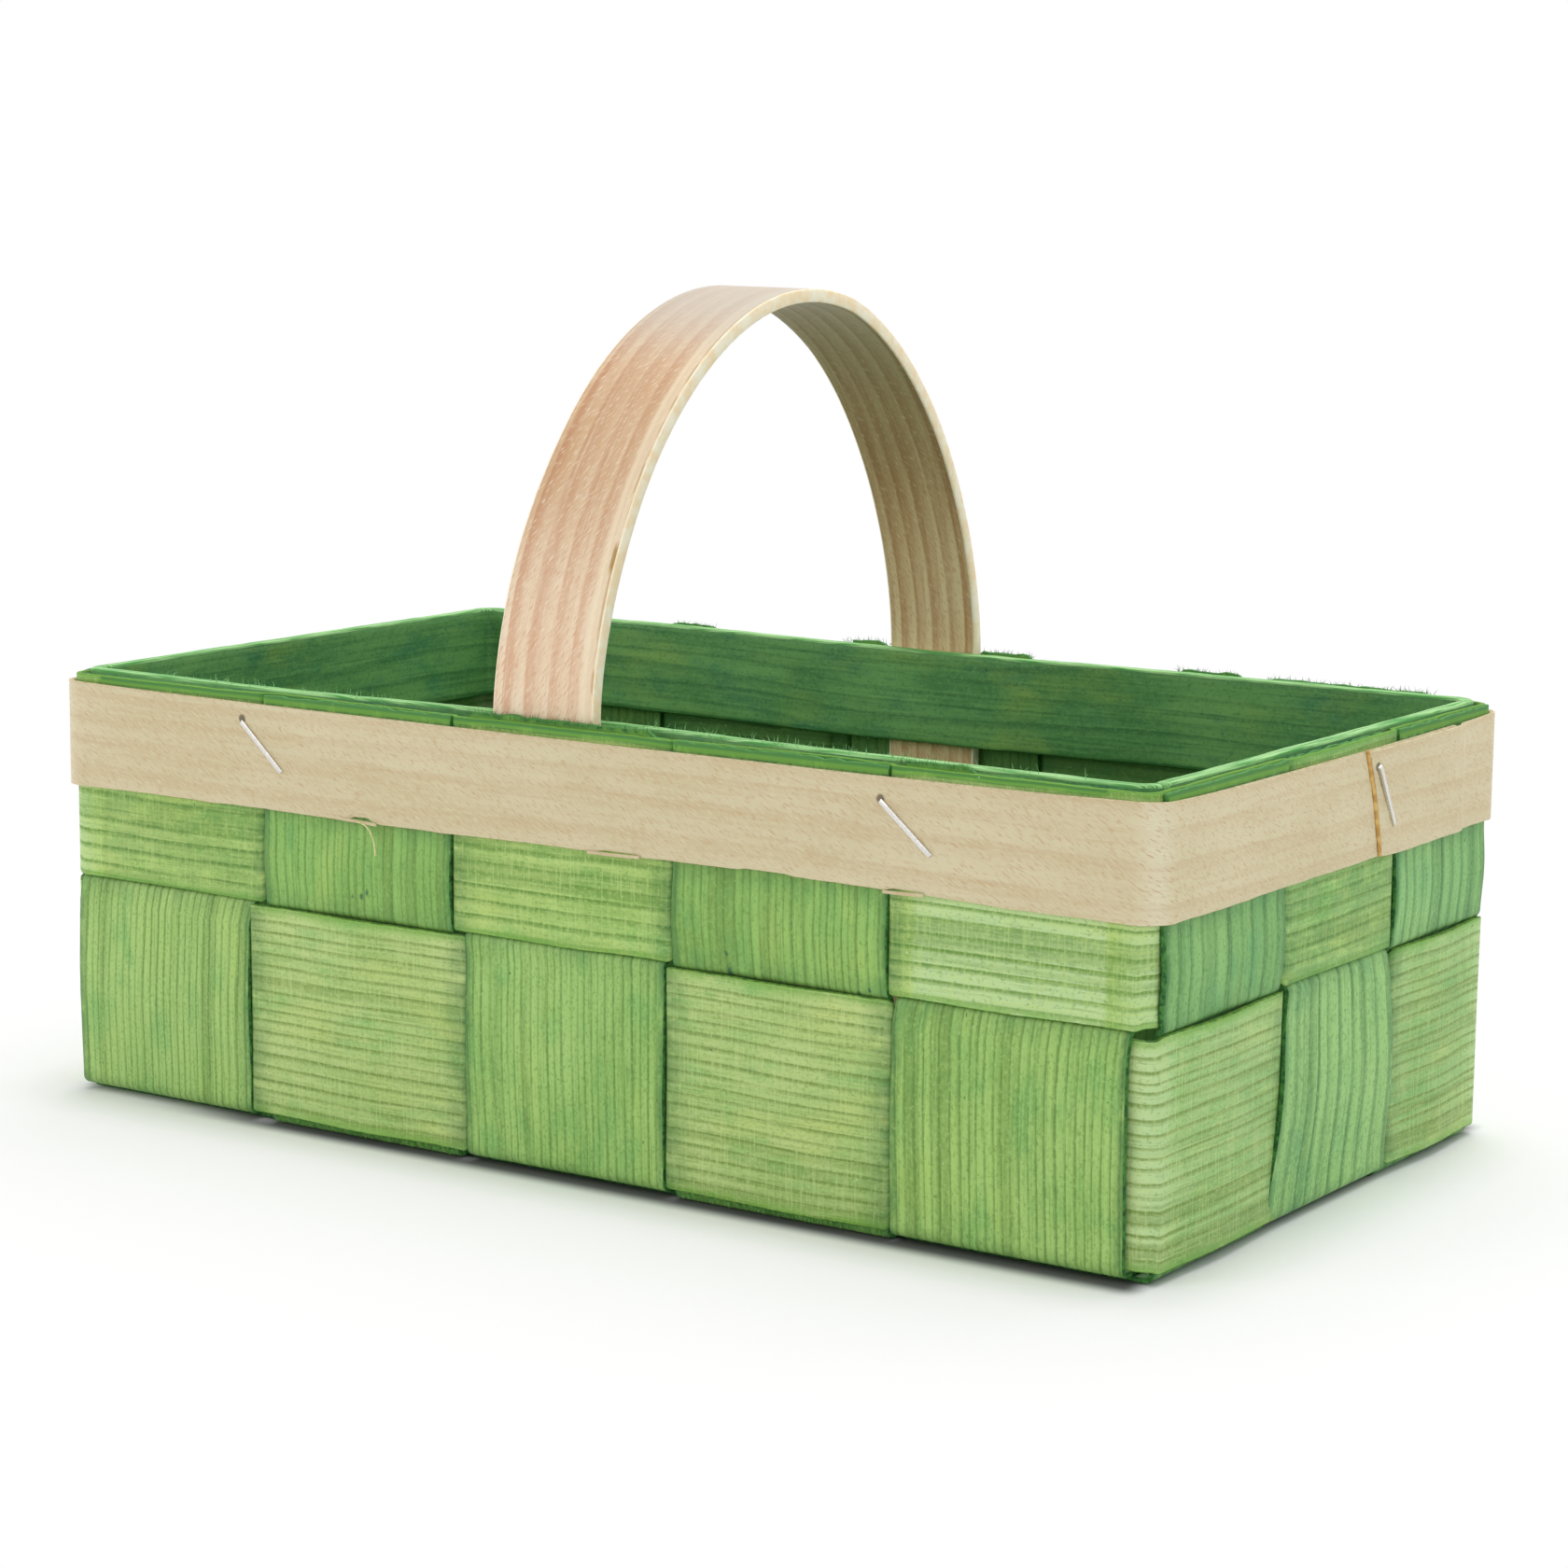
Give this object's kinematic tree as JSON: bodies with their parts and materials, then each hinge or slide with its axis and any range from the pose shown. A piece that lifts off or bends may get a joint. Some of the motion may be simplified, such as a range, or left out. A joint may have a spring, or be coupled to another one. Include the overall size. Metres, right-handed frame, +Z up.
{
  "type": "chip basket",
  "caption": "Rectangular basket woven from dyed wood chips, with a natural band round the rim, a thicker dyed band inside it and a fixed bent wood handle across the middle.",
  "frame": {"origin": "on the floor at the middle of the base, under the middle cross splint", "axes": "+X along the basket's length towards the short wall with the rim band's seam, +Y across the basket towards the back wall, +Z up towards the handle"},
  "size_m": [0.232, 0.128, 0.1507],
  "materials": {
    "dyed_chip": "dyed, matt, split grain",
    "dyed_band": "dyed, matt, sawn edges",
    "natural_band": "natural veneer, matt",
    "natural_handle": "natural planed pine, matt",
    "staple_wire": "flat galvanised wire"
  },
  "bodies": {
    "root": {"cross_splint_1": "dyed_chip", "cross_splint_2": "dyed_chip", "cross_splint_3": "dyed_chip", "cross_splint_4": "dyed_chip", "cross_splint_5": "dyed_chip", "long_splint_1": "dyed_chip", "long_splint_2": "dyed_chip", "long_splint_3": "dyed_chip", "lower_weaver": "dyed_chip", "upper_weaver": "dyed_chip", "outer_rim_band": "natural_band", "inner_rim_band": "dyed_band", "handle": "natural_handle", "staple_front_left": "staple_wire", "staple_front_right": "staple_wire", "staple_right": "staple_wire", "staple_back_left": "staple_wire", "staple_back_right": "staple_wire", "staple_left": "staple_wire", "handle_staple_front": "staple_wire", "handle_staple_back": "staple_wire"}
  },
  "joints": []
}
